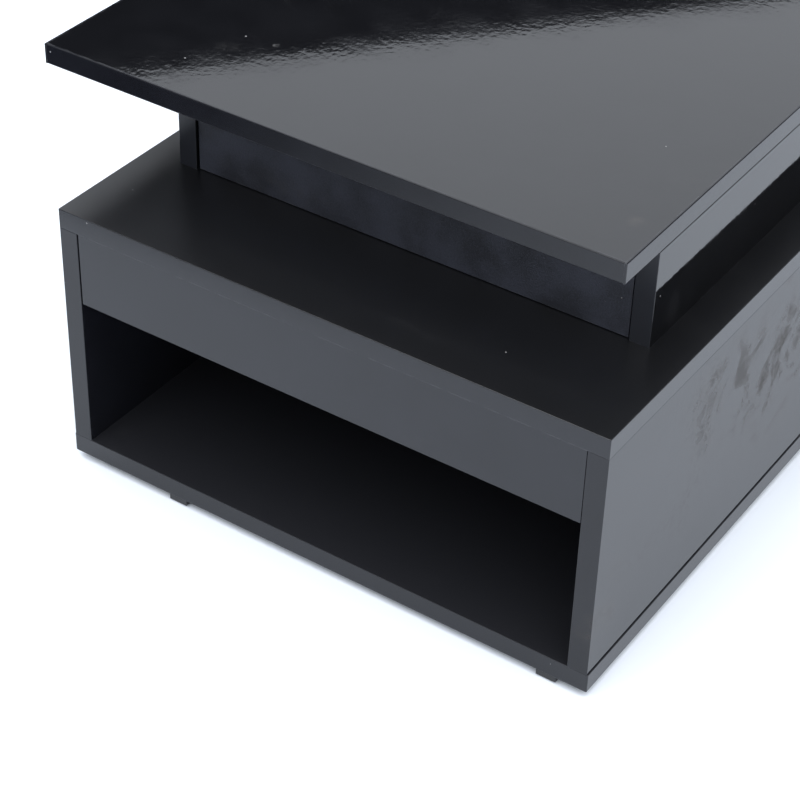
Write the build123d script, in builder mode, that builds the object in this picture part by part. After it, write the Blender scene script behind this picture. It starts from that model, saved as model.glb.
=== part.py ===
from build123d import *
import math
import os

os.makedirs("parts", exist_ok=True)

# A low coffee table on a long box that is open at both short ends. A narrower riser
# stands on the box and hides a storage well. The table top sits on the riser, hangs
# over its left side and both its ends, and swings up and to the left on two pairs of
# parallel arms inside the riser. X runs across the table, Y along it and Z up.

# Boards
BOARD = 18.0
ARRIS = 0.5
SOFT_ARRIS = 1.2

# Lower box
BOX_WIDTH = 520.0
BOX_LENGTH = 1040.0
BOX_HEIGHT = 251.0
BOX_CENTRE_X = 30.0
FOOT_HEIGHT = 7.5
BASE_PROUD = 1.0
APRON_HEIGHT = 69.0
APRON_GAP_LEFT = 1.5
APRON_GAP_RIGHT = 0.4
FLOOR_BOARD = 15.0

# Riser on the box
RISER_LENGTH = 810.0
RISER_WIDTH = 452.0
RISER_CENTRE_X = 31.0
RISER_HEIGHT = 86.1
RISER_END_SETBACK = 2.0
RISER_END_GAP = 1.5
RISER_END_LIFT = 0.8
WELL_LEDGE = 12.0

# Table top
TOP_WIDTH = 548.0
TOP_LENGTH = 914.0
TOP_GAP = 0.4
TOP_BAND = 2.0
TOP_ARRIS = 0.8

# Levels and faces that the sizes above give
BASE_TOP = FOOT_HEIGHT + BOARD
SHELF_TOP = FOOT_HEIGHT + BOX_HEIGHT
SHELF_UNDER = SHELF_TOP - BOARD
APRON_UNDER = SHELF_UNDER - APRON_HEIGHT
BOX_LEFT = BOX_CENTRE_X - BOX_WIDTH / 2
BOX_RIGHT = BOX_CENTRE_X + BOX_WIDTH / 2
BOX_END = BOX_LENGTH / 2
INNER_LEFT = BOX_LEFT + BOARD
INNER_RIGHT = BOX_RIGHT - BOARD
RISER_LEFT = RISER_CENTRE_X - RISER_WIDTH / 2
RISER_RIGHT = RISER_CENTRE_X + RISER_WIDTH / 2
RISER_END = RISER_LENGTH / 2
RISER_TOP = SHELF_TOP + RISER_HEIGHT
WELL_LEFT = RISER_LEFT + BOARD
WELL_RIGHT = RISER_RIGHT - BOARD
WELL_END = RISER_END - RISER_END_SETBACK - BOARD
TOP_RIGHT = RISER_RIGHT
TOP_LEFT = TOP_RIGHT - TOP_WIDTH
TOP_END = TOP_LENGTH / 2
TOP_UNDER = RISER_TOP + TOP_GAP
TOP_SURFACE = TOP_UNDER + BOARD

# Lift linkage: arms in upright planes beside each riser end
NEAR = -1
FAR = 1
SIDES = (NEAR, FAR)
ARM_LENGTH = 200.0
ARM_REST_ANGLE = 8.0
ARM_OPEN_ANGLE = 85.0
ARM_WIDTH = 22.0
LUG_LENGTH = 26.0
LUG_TURN = -144.5
LUG_WIDTH = 17.0
PLATE = 2.5
ARM_THICK = 4.0
ARM_TO_BASE_PLATE = 3.0
ARM_TO_TOP_PLATE = 1.0
FLANGE_REACH = 26.0
BASE_PLATE_OUT = WELL_END
BASE_PLATE_IN = BASE_PLATE_OUT - PLATE
ARM_OUT = BASE_PLATE_IN - ARM_TO_BASE_PLATE
ARM_IN = ARM_OUT - ARM_THICK
TOP_PLATE_OUT = ARM_IN - ARM_TO_TOP_PLATE
TOP_PLATE_IN = TOP_PLATE_OUT - PLATE
FLANGE_IN = TOP_PLATE_IN - FLANGE_REACH
PIN_RADIUS = 4.0
PIN_FIT = 0.05
OPEN_PIVOT_FIT = 0.4
PIN_PLAY = 0.2
SHOULDER_RADIUS = 7.0
HEAD_THICK = 1.8
TUBE_RADIUS = 9.0
TUBE_WALL = 1.5
TUBE_AT = 0.45
STOP_RADIUS = 3.0
STOP_ALONG_ARM = 25.0
STOP_CLEAR = 0.3
PIVOT_DROP = 17.0
PIVOT_X = -130.0
FOLLOWER_OFFSET_X = 80.0
FOLLOWER_OFFSET_Z = -32.0

# Brackets that carry the arms
BRACKET_LOW = (-163.0, 246.0)
BRACKET_HIGH = (60.0, 312.0)
BRACKET_CORNER = 5.0
STOP_BOSS = 4.0
HANGER_LEFT_OF_TIP = 25.0
HANGER_RIGHT_OF_TIP = 95.0
FLANGE_LEFT = -60.0
FLANGE_RIGHT = 172.0
FLANGE_HEIGHT = 12.0

# Springs and the posts that hold them
# The arm posts lie on the springs' line at both ends of the lift
SPRING_REST_LENGTH = 185.0
SPRING_ANGLE = -8.0
POST_RADIUS = 2.5
POST_HEAD_RADIUS = 4.0
POST_HEAD_THICK = 1.5
POST_REACH = 18.5
SPRING_OFFSET = 12.0
POST_IN = ARM_IN - POST_REACH
SPRING_PLANE = ARM_IN - SPRING_OFFSET
WIRE_RADIUS = 0.8
COIL_RADIUS = 5.2
COIL_PITCH = 3.0
LOOP_RADIUS = 4.0
LOOP_NECK = 7.0

# Fasteners
DOWEL_RADIUS = 4.0
DOWEL_LENGTH = 30.0
DOWEL_IN_PANEL = 12.0
HOLE_FIT = 0.05
DRILL_OVER = 1.0
DOWEL_IN_BOARD = DOWEL_LENGTH - DOWEL_IN_PANEL + DRILL_OVER
CAM_RADIUS = 7.5
CAM_DEPTH = 12.5
CAM_BOLT_RADIUS = 3.0
CAM_BOLT_REACH = 34.0
CAM_BOLT_THREAD = 11.0
CAM_BOLT_CLEAR = 0.3
CAM_SLOT_DEEP = 2.4
CAM_SLOT_LONG = 10.0
CAM_SLOT_WIDE = 1.6
CONFIRMAT_RADIUS = 3.0
CONFIRMAT_HEAD_RADIUS = 5.0
CONFIRMAT_HEAD = 3.5
CONFIRMAT_LENGTH = 50.0
CONFIRMAT_IN_BOARD = CONFIRMAT_LENGTH - BOARD + DRILL_OVER
RISER_SCREW_LENGTH = 50.0
RISER_SCREW_IN_RISER = RISER_SCREW_LENGTH - BOARD + DRILL_OVER
WOOD_SCREW_RADIUS = 2.0
WOOD_SCREW_HEAD_RADIUS = 4.0
WOOD_SCREW_HEAD = 2.5
BRACKET_SCREW_LENGTH = 14.0
TOP_SCREW_LENGTH = 12.0

# Small parts
GLIDE_WIDTH = 18.0
GLIDE_DEPTH = 16.0
GLIDE_CHAMFER = 1.5
GLIDE_INSET_Y = 1.0
GLIDE_LEFT_X = -117.0
GLIDE_RIGHT_X = 253.5
NAIL_RADIUS = 1.5
NAIL_HEAD_RADIUS = 3.5
NAIL_HEAD_THICK = 1.0
NAIL_LENGTH = 16.0
NAIL_RECESS = 3.0
BUMPER_RADIUS = 4.0
BUMPER_SUNK = 2.0
BUMPER_GAP = 0.05

# Directions for round holes and pins, as turns about X, Y and Z
UP = (0, 0, 0)
DOWN = (180, 0, 0)
TO_RIGHT = (0, 90, 0)
TO_LEFT = (0, -90, 0)
TO_FAR = (-90, 0, 0)
TO_NEAR = (90, 0, 0)
AWAY_FROM_CENTRE = {NEAR: TO_NEAR, FAR: TO_FAR}
TO_CENTRE = {NEAR: TO_FAR, FAR: TO_NEAR}
ON_BASE = (Align.CENTER, Align.CENTER, Align.MIN)


def slab(left, right, near, far, bottom, top, mode=Mode.ADD):
    """A rectangular board between two corners, with its faces along the axes."""
    with BuildSketch(Plane.XY.offset(bottom)) as outline:
        with Locations(((left + right) / 2, (near + far) / 2)):
            Rectangle(right - left, far - near)
    extrude(outline.sketch, amount=top - bottom, mode=mode)


def rods(points, direction, radius, length, mode=Mode.ADD):
    """One round pin, or one round hole, from each point in the given direction."""
    for point in points:
        with Locations(Location(point, direction)):
            Cylinder(radius, length, align=ON_BASE, mode=mode)


def holes(points, direction, radius, length):
    """One round hole from each point in the given direction."""
    rods(points, direction, radius, length, mode=Mode.SUBTRACT)


def upright(side, inner, outer):
    """The plane of an upright plate at one end, facing -Y, on the plate's +Y face."""
    return Plane.XZ.offset(inner if side == NEAR else -outer)


def along_arm(start, distance, angle):
    """The point at a distance from a start point, at an angle above +X."""
    turn = math.radians(angle)
    return (start[0] + distance * math.cos(turn), start[1] + distance * math.sin(turn))


def middle(first, second):
    """The point half way between two points."""
    return ((first[0] + second[0]) / 2, (first[1] + second[1]) / 2)


# Pivots of the linkage, as (x, z)
TOP_PIVOT_Z = TOP_UNDER - PIVOT_DROP
MAIN_PIVOT = (PIVOT_X, TOP_PIVOT_Z - ARM_LENGTH * math.sin(math.radians(ARM_REST_ANGLE)))
MAIN_TIP = along_arm(MAIN_PIVOT, ARM_LENGTH, ARM_REST_ANGLE)
FOLLOWER_PIVOT = (MAIN_PIVOT[0] + FOLLOWER_OFFSET_X, MAIN_PIVOT[1] + FOLLOWER_OFFSET_Z)
FOLLOWER_TIP = along_arm(FOLLOWER_PIVOT, ARM_LENGTH, ARM_REST_ANGLE)
LUG_TIP = along_arm(MAIN_PIVOT, LUG_LENGTH, ARM_REST_ANGLE + LUG_TURN)
TUBE_AXIS = along_arm(MAIN_PIVOT, ARM_LENGTH * TUBE_AT, ARM_REST_ANGLE)
SPRING_POST = along_arm(LUG_TIP, SPRING_REST_LENGTH, SPRING_ANGLE)
STOP_ON_ARM = along_arm(MAIN_PIVOT, STOP_ALONG_ARM, ARM_OPEN_ANGLE)
STOP_OFFSET = ARM_WIDTH / 2 + STOP_RADIUS + STOP_CLEAR
STOP_PIN = along_arm(STOP_ON_ARM, STOP_OFFSET, ARM_OPEN_ANGLE + 90.0)

# Fastener positions
SIDE_MIDDLES = (BOX_LEFT + BOARD / 2, BOX_RIGHT - BOARD / 2)
CAM_BOLT_Y = (-440, -150, 150, 440)
BASE_SCREW_Y = (-460, -230, 0, 230, 460)
DIVIDER_SCREW_X = (-150, BOX_CENTRE_X, 210)
APRON_DOWEL_Z = (190, 222)
FLOOR_DOWEL_Y = (-400, -150, 150, 400)
RISER_DOWEL_Z = (280, 322)
RISER_SIDE_SCREW_Y = (-300, -100, 100, 300)
RISER_END_SCREW_X = (-125, BOX_CENTRE_X, 190)
BUMPER_Y = (-330, 330)
CAM_BOLT_SPOTS = [(x, y, SHELF_UNDER) for x in SIDE_MIDDLES for y in CAM_BOLT_Y]
BASE_SCREW_SPOTS = [(x, y, FOOT_HEIGHT) for x in SIDE_MIDDLES for y in BASE_SCREW_Y]
DIVIDER_SCREW_SPOTS = [(x, 0, FOOT_HEIGHT) for x in DIVIDER_SCREW_X]
CONFIRMAT_SPOTS = BASE_SCREW_SPOTS + DIVIDER_SCREW_SPOTS
APRON_MIDDLE_Y = BOX_END - BOARD / 2
APRON_DOWEL_YZ = [(y, z) for y in (-APRON_MIDDLE_Y, APRON_MIDDLE_Y) for z in APRON_DOWEL_Z]
FLOOR_DOWEL_YZ = [(y, APRON_UNDER + FLOOR_BOARD / 2) for y in FLOOR_DOWEL_Y]
SIDE_DOWEL_YZ = APRON_DOWEL_YZ + FLOOR_DOWEL_YZ
RISER_END_MIDDLE_Y = WELL_END + BOARD / 2
RISER_END_MIDDLES = (-RISER_END_MIDDLE_Y, RISER_END_MIDDLE_Y)
RISER_DOWEL_YZ = [(y, z) for y in RISER_END_MIDDLES for z in RISER_DOWEL_Z]
RISER_SIDE_MIDDLES = (RISER_LEFT + BOARD / 2, RISER_RIGHT - BOARD / 2)
RISER_SIDE_SCREW_SPOTS = [
    (x, y, SHELF_UNDER) for x in RISER_SIDE_MIDDLES for y in RISER_SIDE_SCREW_Y
]
RISER_END_SCREW_SPOTS = [
    (x, y, SHELF_UNDER) for x in RISER_END_SCREW_X for y in RISER_END_MIDDLES
]
RISER_SCREW_SPOTS = RISER_SIDE_SCREW_SPOTS + RISER_END_SCREW_SPOTS
BUMPER_SPOTS = [(x, y, RISER_TOP) for x in RISER_SIDE_MIDDLES for y in BUMPER_Y]
GLIDE_Y = BOX_END - GLIDE_INSET_Y - GLIDE_DEPTH / 2
GLIDE_SPOTS = [(x, y) for x in (GLIDE_LEFT_X, GLIDE_RIGHT_X) for y in (-GLIDE_Y, GLIDE_Y)]
BRACKET_SCREW_XZ = [(-155, 272), (-95, 276), (10, 298), (50, 303)]
TOP_SCREW_X = (-45, 15, 105, 155)
TOP_SCREW_Y = (FLANGE_IN + TOP_PLATE_IN) / 2
TOP_SCREW_SPOTS = [(x, side * TOP_SCREW_Y, TOP_UNDER - PLATE) for x in TOP_SCREW_X for side in SIDES]


def at_end(side, spot, distance):
    """The 3-D point of an (x, z) spot on the linkage, at a distance from the middle."""
    return (spot[0], side * distance, spot[1])


def cut_side_dowels(side_face, direction):
    """Blind dowel holes from one face of a side panel into its thickness."""
    points = [(side_face, y, z) for y, z in SIDE_DOWEL_YZ]
    holes(points, direction, DOWEL_RADIUS + HOLE_FIT, DOWEL_IN_PANEL + HOLE_FIT)


def side_panel(left, right, inner_face, outward, middle_x):
    """One long side of the lower box, drilled for its dowels, cams and screws."""
    slab(left, right, -BOX_END, BOX_END, BASE_TOP, SHELF_UNDER)
    fillet(edges().filter_by(Axis.Z), ARRIS)
    fillet(faces().sort_by(Axis.Z)[-1].edges(), ARRIS)
    cut_side_dowels(inner_face, outward)
    bolts = [spot for spot in CAM_BOLT_SPOTS if spot[0] == middle_x]
    holes(bolts, DOWN, CAM_BOLT_RADIUS + HOLE_FIT, CAM_BOLT_REACH)
    cams = [(inner_face, y, z - CAM_BOLT_REACH) for x, y, z in bolts]
    holes(cams, outward, CAM_RADIUS + HOLE_FIT, CAM_DEPTH + HOLE_FIT)
    screws = [(x, y, BASE_TOP) for x, y, z in BASE_SCREW_SPOTS if x == middle_x]
    holes(screws, UP, CONFIRMAT_RADIUS + HOLE_FIT, CONFIRMAT_IN_BOARD)


# Lower box ---------------------------------------------------------------------------

with BuildPart() as bottom_board:
    slab(
        BOX_LEFT - BASE_PROUD,
        BOX_RIGHT + BASE_PROUD,
        -BOX_END,
        BOX_END,
        FOOT_HEIGHT,
        BASE_TOP,
    )
    fillet(edges().filter_by(Axis.Z), SOFT_ARRIS)
    fillet(faces().sort_by(Axis.Z)[-1].edges(), ARRIS)
    fillet(faces().sort_by(Axis.Z)[0].edges(), ARRIS)
    holes(CONFIRMAT_SPOTS, UP, CONFIRMAT_RADIUS + HOLE_FIT, BOARD)
    holes(CONFIRMAT_SPOTS, UP, CONFIRMAT_HEAD_RADIUS + HOLE_FIT, CONFIRMAT_HEAD + HOLE_FIT)
    nail_holes = [(x, y, FOOT_HEIGHT) for x, y in GLIDE_SPOTS]
    holes(nail_holes, UP, NAIL_RADIUS + HOLE_FIT, NAIL_LENGTH)
bottom_board.part.label = "bottom_board"
export_step(bottom_board.part, "parts/bottom_board.step")

with BuildPart() as side_panel_left:
    side_panel(BOX_LEFT, INNER_LEFT, INNER_LEFT, TO_LEFT, SIDE_MIDDLES[0])
side_panel_left.part.label = "side_panel_left"
export_step(side_panel_left.part, "parts/side_panel_left.step")

with BuildPart() as side_panel_right:
    side_panel(INNER_RIGHT, BOX_RIGHT, INNER_RIGHT, TO_RIGHT, SIDE_MIDDLES[1])
side_panel_right.part.label = "side_panel_right"
export_step(side_panel_right.part, "parts/side_panel_right.step")

with BuildPart() as top_board:
    slab(BOX_LEFT, BOX_RIGHT, -BOX_END, BOX_END, SHELF_UNDER, SHELF_TOP)
    fillet(edges().filter_by(Axis.Z), ARRIS)
    fillet(faces().sort_by(Axis.Z)[-1].edges(), ARRIS)
    slab(
        WELL_LEFT + WELL_LEDGE,
        WELL_RIGHT - WELL_LEDGE,
        -WELL_END,
        WELL_END,
        SHELF_UNDER,
        SHELF_TOP,
        mode=Mode.SUBTRACT,
    )
    holes(CAM_BOLT_SPOTS, UP, CAM_BOLT_RADIUS + HOLE_FIT, CAM_BOLT_THREAD + HOLE_FIT)
    holes(RISER_SCREW_SPOTS, UP, WOOD_SCREW_RADIUS + HOLE_FIT, BOARD)
    holes(RISER_SCREW_SPOTS, UP, WOOD_SCREW_HEAD_RADIUS + HOLE_FIT, WOOD_SCREW_HEAD + HOLE_FIT)
top_board.part.label = "top_board"
export_step(top_board.part, "parts/top_board.step")


def apron(near, far):
    """The rail that closes the box end above the open compartment."""
    slab(
        INNER_LEFT + APRON_GAP_LEFT,
        INNER_RIGHT - APRON_GAP_RIGHT,
        near,
        far,
        APRON_UNDER,
        SHELF_UNDER,
    )
    fillet(edges().filter_by(Axis.Z), ARRIS)
    fillet(faces().sort_by(Axis.Z)[0].edges().filter_by(Axis.X), ARRIS)
    for y, z in APRON_DOWEL_YZ:
        if near < y < far:
            left_end = [(INNER_LEFT, y, z)]
            holes(left_end, TO_RIGHT, DOWEL_RADIUS + HOLE_FIT, DOWEL_IN_BOARD)
            right_end = [(INNER_RIGHT, y, z)]
            holes(right_end, TO_LEFT, DOWEL_RADIUS + HOLE_FIT, DOWEL_IN_BOARD)


with BuildPart() as apron_near:
    apron(-BOX_END, -BOX_END + BOARD)
apron_near.part.label = "apron_near"
export_step(apron_near.part, "parts/apron_near.step")

with BuildPart() as apron_far:
    apron(BOX_END - BOARD, BOX_END)
apron_far.part.label = "apron_far"
export_step(apron_far.part, "parts/apron_far.step")

with BuildPart() as divider:
    slab(INNER_LEFT, INNER_RIGHT, -BOARD / 2, BOARD / 2, BASE_TOP, APRON_UNDER)
    divider_holes = [(x, y, BASE_TOP) for x, y, z in DIVIDER_SCREW_SPOTS]
    holes(divider_holes, UP, CONFIRMAT_RADIUS + HOLE_FIT, CONFIRMAT_IN_BOARD)
divider.part.label = "divider"
export_step(divider.part, "parts/divider.step")

with BuildPart() as storage_floor:
    slab(
        INNER_LEFT,
        INNER_RIGHT,
        -BOX_END + BOARD,
        BOX_END - BOARD,
        APRON_UNDER,
        APRON_UNDER + FLOOR_BOARD,
    )
    for y, z in FLOOR_DOWEL_YZ:
        left_end = [(INNER_LEFT, y, z)]
        holes(left_end, TO_RIGHT, DOWEL_RADIUS + HOLE_FIT, DOWEL_IN_BOARD)
        right_end = [(INNER_RIGHT, y, z)]
        holes(right_end, TO_LEFT, DOWEL_RADIUS + HOLE_FIT, DOWEL_IN_BOARD)
storage_floor.part.label = "storage_floor"
export_step(storage_floor.part, "parts/storage_floor.step")

# Riser -------------------------------------------------------------------------------


def riser_side(left, right, inner_face, outward, middle_x):
    """One long board of the riser, standing on the shelf."""
    slab(left, right, -RISER_END, RISER_END, SHELF_TOP, RISER_TOP)
    fillet(edges().filter_by(Axis.Z), ARRIS)
    dowels = [(inner_face, y, z) for y, z in RISER_DOWEL_YZ]
    holes(dowels, outward, DOWEL_RADIUS + HOLE_FIT, DOWEL_IN_PANEL + HOLE_FIT)
    screws = [(x, y, SHELF_TOP) for x, y, z in RISER_SIDE_SCREW_SPOTS if x == middle_x]
    holes(screws, UP, WOOD_SCREW_RADIUS + HOLE_FIT, RISER_SCREW_IN_RISER)
    pockets = [spot for spot in BUMPER_SPOTS if spot[0] == middle_x]
    holes(pockets, DOWN, BUMPER_RADIUS + HOLE_FIT, BUMPER_SUNK)


with BuildPart() as riser_side_left:
    riser_side(RISER_LEFT, WELL_LEFT, WELL_LEFT, TO_LEFT, RISER_SIDE_MIDDLES[0])
riser_side_left.part.label = "riser_side_left"
export_step(riser_side_left.part, "parts/riser_side_left.step")

with BuildPart() as riser_side_right:
    riser_side(WELL_RIGHT, RISER_RIGHT, WELL_RIGHT, TO_RIGHT, RISER_SIDE_MIDDLES[1])
riser_side_right.part.label = "riser_side_right"
export_step(riser_side_right.part, "parts/riser_side_right.step")


def riser_end(side):
    """The recessed end panel of the riser, which carries a base bracket inside."""
    left = WELL_LEFT + RISER_END_GAP
    right = WELL_RIGHT - RISER_END_GAP
    near = min(side * WELL_END, side * (WELL_END + BOARD))
    slab(left, right, near, near + BOARD, SHELF_TOP + RISER_END_LIFT, RISER_TOP)
    fillet(edges().filter_by(Axis.Z), ARRIS)
    for y, z in RISER_DOWEL_YZ:
        if y * side > 0:
            holes([(WELL_LEFT, y, z)], TO_RIGHT, DOWEL_RADIUS + HOLE_FIT, DOWEL_IN_BOARD)
            holes([(WELL_RIGHT, y, z)], TO_LEFT, DOWEL_RADIUS + HOLE_FIT, DOWEL_IN_BOARD)
    screws = [(x, y, SHELF_TOP) for x, y, z in RISER_END_SCREW_SPOTS if y * side > 0]
    holes(screws, UP, WOOD_SCREW_RADIUS + HOLE_FIT, RISER_SCREW_IN_RISER)
    bracket = [at_end(side, spot, WELL_END) for spot in BRACKET_SCREW_XZ]
    depth = BRACKET_SCREW_LENGTH - PLATE + DRILL_OVER
    holes(bracket, AWAY_FROM_CENTRE[side], WOOD_SCREW_RADIUS + HOLE_FIT, depth)


with BuildPart() as riser_end_near:
    riser_end(NEAR)
riser_end_near.part.label = "riser_end_near"
export_step(riser_end_near.part, "parts/riser_end_near.step")

with BuildPart() as riser_end_far:
    riser_end(FAR)
riser_end_far.part.label = "riser_end_far"
export_step(riser_end_far.part, "parts/riser_end_far.step")

# Table top ---------------------------------------------------------------------------

with BuildPart() as tabletop:
    slab(
        TOP_LEFT + TOP_BAND,
        TOP_RIGHT - TOP_BAND,
        -TOP_END + TOP_BAND,
        TOP_END - TOP_BAND,
        TOP_UNDER,
        TOP_SURFACE,
    )
    screw_holes = [(x, y, TOP_UNDER) for x, y, z in TOP_SCREW_SPOTS]
    holes(screw_holes, UP, WOOD_SCREW_RADIUS + HOLE_FIT, TOP_SCREW_LENGTH)
tabletop.part.label = "tabletop"
export_step(tabletop.part, "parts/tabletop.step")


def long_band(left, right, outer_face):
    """An edge band along one long side, which also covers the ends of the short bands."""
    slab(left, right, -TOP_END, TOP_END, TOP_UNDER, TOP_SURFACE)
    outer = faces().filter_by(Axis.X).sort_by(Axis.X)[outer_face]
    fillet(outer.edges(), TOP_ARRIS)


with BuildPart() as top_band_left:
    long_band(TOP_LEFT, TOP_LEFT + TOP_BAND, 0)
top_band_left.part.label = "top_band_left"
export_step(top_band_left.part, "parts/top_band_left.step")

with BuildPart() as top_band_right:
    long_band(TOP_RIGHT - TOP_BAND, TOP_RIGHT, -1)
top_band_right.part.label = "top_band_right"
export_step(top_band_right.part, "parts/top_band_right.step")


def short_band(near, far, outer_face):
    """An edge band along one short side, between the two long bands."""
    slab(TOP_LEFT + TOP_BAND, TOP_RIGHT - TOP_BAND, near, far, TOP_UNDER, TOP_SURFACE)
    outer = faces().filter_by(Axis.Y).sort_by(Axis.Y)[outer_face]
    fillet(outer.edges().filter_by(Axis.X), TOP_ARRIS)


with BuildPart() as top_band_near:
    short_band(-TOP_END, -TOP_END + TOP_BAND, 0)
top_band_near.part.label = "top_band_near"
export_step(top_band_near.part, "parts/top_band_near.step")

with BuildPart() as top_band_far:
    short_band(TOP_END - TOP_BAND, TOP_END, -1)
top_band_far.part.label = "top_band_far"
export_step(top_band_far.part, "parts/top_band_far.step")

# Lift linkage ------------------------------------------------------------------------


def base_bracket(side):
    """The steel plate on the riser end that the two arms of one end turn on."""
    with BuildSketch(upright(side, BASE_PLATE_IN, BASE_PLATE_OUT)) as outline:
        with Locations(middle(BRACKET_LOW, BRACKET_HIGH)):
            Rectangle(BRACKET_HIGH[0] - BRACKET_LOW[0], BRACKET_HIGH[1] - BRACKET_LOW[1])
        with Locations(STOP_PIN):
            Circle(STOP_RADIUS + STOP_BOSS)
        make_hull()
    extrude(outline.sketch, amount=PLATE)
    lower_corners = edges().filter_by(Axis.Y).group_by(Axis.Z)[0]
    fillet(lower_corners, BRACKET_CORNER)
    pivots = [at_end(side, spot, BASE_PLATE_IN) for spot in (MAIN_PIVOT, FOLLOWER_PIVOT)]
    holes(pivots, AWAY_FROM_CENTRE[side], PIN_RADIUS + HOLE_FIT, PLATE)
    post = [at_end(side, SPRING_POST, BASE_PLATE_IN)]
    holes(post, AWAY_FROM_CENTRE[side], POST_RADIUS + HOLE_FIT, PLATE)
    stop = [at_end(side, STOP_PIN, BASE_PLATE_IN)]
    holes(stop, AWAY_FROM_CENTRE[side], STOP_RADIUS + HOLE_FIT, PLATE)
    for spot in BRACKET_SCREW_XZ:
        with Locations(Location(at_end(side, spot, BASE_PLATE_IN), AWAY_FROM_CENTRE[side])):
            Cone(
                WOOD_SCREW_HEAD_RADIUS + HOLE_FIT,
                WOOD_SCREW_RADIUS + HOLE_FIT,
                PLATE,
                align=ON_BASE,
                mode=Mode.SUBTRACT,
            )


with BuildPart() as base_bracket_near:
    base_bracket(NEAR)
base_bracket_near.part.label = "base_bracket_near"
export_step(base_bracket_near.part, "parts/base_bracket_near.step")

with BuildPart() as base_bracket_far:
    base_bracket(FAR)
base_bracket_far.part.label = "base_bracket_far"
export_step(base_bracket_far.part, "parts/base_bracket_far.step")


def main_arm(side):
    """The driven arm of one end, with a lug below its pivot for the spring post."""
    with BuildSketch(upright(side, ARM_IN, ARM_OUT)) as outline:
        with Locations(middle(MAIN_PIVOT, MAIN_TIP)):
            SlotCenterToCenter(ARM_LENGTH, ARM_WIDTH, rotation=ARM_REST_ANGLE)
        with Locations(middle(MAIN_PIVOT, LUG_TIP)):
            SlotCenterToCenter(LUG_LENGTH, LUG_WIDTH, rotation=ARM_REST_ANGLE + LUG_TURN)
        with Locations(MAIN_PIVOT, MAIN_TIP):
            Circle(PIN_RADIUS + PIN_FIT, mode=Mode.SUBTRACT)
        with Locations(LUG_TIP):
            Circle(POST_RADIUS + HOLE_FIT, mode=Mode.SUBTRACT)
    extrude(outline.sketch, amount=ARM_THICK)


with BuildPart() as main_arm_near:
    main_arm(NEAR)
main_arm_near.part.label = "main_arm_near"
export_step(main_arm_near.part, "parts/main_arm_near.step")

with BuildPart() as main_arm_far:
    main_arm(FAR)
main_arm_far.part.label = "main_arm_far"
export_step(main_arm_far.part, "parts/main_arm_far.step")

with BuildPart() as cross_tube:
    with BuildSketch(Plane.XZ.offset(-ARM_IN)) as ring:
        with Locations(TUBE_AXIS):
            Circle(TUBE_RADIUS)
            Circle(TUBE_RADIUS - TUBE_WALL, mode=Mode.SUBTRACT)
    extrude(amount=2 * ARM_IN)
cross_tube.part.label = "cross_tube"
export_step(cross_tube.part, "parts/cross_tube.step")


def follower_arm(side):
    """The second arm of one end, which keeps the top level."""
    with BuildSketch(upright(side, ARM_IN, ARM_OUT)) as outline:
        with Locations(middle(FOLLOWER_PIVOT, FOLLOWER_TIP)):
            SlotCenterToCenter(ARM_LENGTH, ARM_WIDTH, rotation=ARM_REST_ANGLE)
        with Locations(FOLLOWER_PIVOT):
            Circle(PIN_RADIUS + PIN_FIT, mode=Mode.SUBTRACT)
        with Locations(FOLLOWER_TIP):
            Circle(PIN_RADIUS + OPEN_PIVOT_FIT, mode=Mode.SUBTRACT)
    extrude(outline.sketch, amount=ARM_THICK)


with BuildPart() as follower_arm_near:
    follower_arm(NEAR)
follower_arm_near.part.label = "follower_arm_near"
export_step(follower_arm_near.part, "parts/follower_arm_near.step")

with BuildPart() as follower_arm_far:
    follower_arm(FAR)
follower_arm_far.part.label = "follower_arm_far"
export_step(follower_arm_far.part, "parts/follower_arm_far.step")


def top_bracket(side):
    """The steel angle under the table top that the two arm tips turn on."""
    with BuildSketch(upright(side, TOP_PLATE_IN, TOP_PLATE_OUT)) as hanger:
        with Locations(MAIN_TIP, FOLLOWER_TIP):
            Circle(ARM_WIDTH / 2)
        hanger_middle = (HANGER_RIGHT_OF_TIP - HANGER_LEFT_OF_TIP) / 2
        with Locations((MAIN_TIP[0] + hanger_middle, TOP_UNDER - FLANGE_HEIGHT / 2)):
            Rectangle(HANGER_LEFT_OF_TIP + HANGER_RIGHT_OF_TIP, FLANGE_HEIGHT)
        make_hull()
    extrude(hanger.sketch, amount=PLATE)
    leg_near = min(side * TOP_PLATE_IN, side * TOP_PLATE_OUT)
    leg_far = leg_near + PLATE
    slab(FLANGE_LEFT, FLANGE_RIGHT, leg_near, leg_far, TOP_UNDER - FLANGE_HEIGHT, TOP_UNDER)
    flange_near = min(side * FLANGE_IN, side * TOP_PLATE_OUT)
    flange_width = TOP_PLATE_OUT - FLANGE_IN
    slab(
        FLANGE_LEFT,
        FLANGE_RIGHT,
        flange_near,
        flange_near + flange_width,
        TOP_UNDER - PLATE,
        TOP_UNDER,
    )
    pins = [at_end(side, spot, TOP_PLATE_IN) for spot in (MAIN_TIP, FOLLOWER_TIP)]
    holes(pins, AWAY_FROM_CENTRE[side], PIN_RADIUS + HOLE_FIT, PLATE)
    screws = [(x, y, z) for x, y, z in TOP_SCREW_SPOTS if y * side > 0]
    holes(screws, UP, WOOD_SCREW_RADIUS + HOLE_FIT, PLATE)


with BuildPart() as top_bracket_near:
    top_bracket(NEAR)
top_bracket_near.part.label = "top_bracket_near"
export_step(top_bracket_near.part, "parts/top_bracket_near.step")

with BuildPart() as top_bracket_far:
    top_bracket(FAR)
top_bracket_far.part.label = "top_bracket_far"
export_step(top_bracket_far.part, "parts/top_bracket_far.step")

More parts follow.
